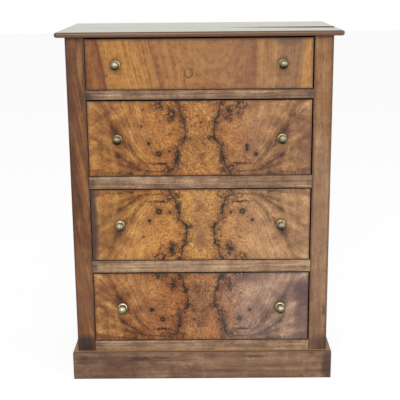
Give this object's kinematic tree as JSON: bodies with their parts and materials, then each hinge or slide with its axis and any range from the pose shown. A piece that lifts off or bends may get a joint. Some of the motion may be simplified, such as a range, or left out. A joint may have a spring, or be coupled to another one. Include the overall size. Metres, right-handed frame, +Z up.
{
  "type": "chest of drawers",
  "caption": "Walnut chest of drawers: framed carcass on a plinth, dovetailed drawers with veneered fronts and brass ball knobs, sliding on wooden runners.",
  "frame": {"origin": "on the floor, under the middle of the chest's bounding box", "axes": "+X to the right as one faces the drawers, +Y from the front to the back, +Z up"},
  "size_m": [0.772, 0.4474, 0.997],
  "materials": {
    "top_walnut": "old wax, worn, with a soft sheen",
    "post_walnut": "old wax",
    "side_walnut": "old wax",
    "rail_walnut": "old wax",
    "plinth_walnut": "old wax, scuffed",
    "plain_veneer": "sawn walnut veneer, waxed",
    "burr_veneer": "book-matched burr walnut veneer, waxed",
    "front_core": "planed and bare",
    "oak": "planed and bare",
    "poplar": "planed and bare",
    "plug_walnut": "waxed",
    "aged_brass": "turned, worn bright on the crowns and tarnished round them"
  },
  "bodies": {
    "carcass": {"top_front_board": "top_walnut", "top_back_board": "top_walnut", "front_post_left": "post_walnut", "front_post_right": "post_walnut", "rear_post_left": "side_walnut", "rear_post_right": "side_walnut", "side_top_rail_left": "side_walnut", "side_top_rail_right": "side_walnut", "side_bottom_rail_left": "side_walnut", "side_bottom_rail_right": "side_walnut", "side_panel_left": "side_walnut", "side_panel_right": "side_walnut", "drawer_rail_1": "rail_walnut", "drawer_rail_2": "rail_walnut", "drawer_rail_3": "rail_walnut", "bottom_rail": "rail_walnut", "back_top_rail": "poplar", "back_bottom_rail": "poplar", "back_boards": "poplar", "plinth_front": "plinth_walnut", "plinth_left": "plinth_walnut", "plinth_right": "plinth_walnut", "glue_blocks": "poplar", "drawer_stops": "oak", "runners_1": "oak", "runners_2": "oak", "runners_3": "oak", "runners_4": "oak"},
    "drawer_1": {"drawer_1_front": "front_core", "drawer_1_veneer": "plain_veneer", "drawer_1_left_side": "oak", "drawer_1_right_side": "oak", "drawer_1_back": "oak", "drawer_1_bottom": "poplar", "drawer_1_knobs": "aged_brass", "keyhole_ring": "aged_brass", "keyhole_plug": "plug_walnut"},
    "drawer_2": {"drawer_2_front": "front_core", "drawer_2_veneer": "burr_veneer", "drawer_2_left_side": "oak", "drawer_2_right_side": "oak", "drawer_2_back": "oak", "drawer_2_bottom": "poplar", "drawer_2_knobs": "aged_brass"},
    "drawer_3": {"drawer_3_front": "front_core", "drawer_3_veneer": "burr_veneer", "drawer_3_left_side": "oak", "drawer_3_right_side": "oak", "drawer_3_back": "oak", "drawer_3_bottom": "poplar", "drawer_3_knobs": "aged_brass"},
    "drawer_4": {"drawer_4_front": "front_core", "drawer_4_veneer": "burr_veneer", "drawer_4_left_side": "oak", "drawer_4_right_side": "oak", "drawer_4_back": "oak", "drawer_4_bottom": "poplar", "drawer_4_knobs": "aged_brass"}
  },
  "joints": [
    {"name": "drawer_1_slide", "type": "slide", "parent": "carcass", "child": "drawer_1", "axis": [0, -1, 0], "range_m": [0, 0.3]},
    {"name": "drawer_2_slide", "type": "slide", "parent": "carcass", "child": "drawer_2", "axis": [0, -1, 0], "range_m": [0, 0.3]},
    {"name": "drawer_3_slide", "type": "slide", "parent": "carcass", "child": "drawer_3", "axis": [0, -1, 0], "range_m": [0, 0.3]},
    {"name": "drawer_4_slide", "type": "slide", "parent": "carcass", "child": "drawer_4", "axis": [0, -1, 0], "range_m": [0, 0.3]}
  ]
}
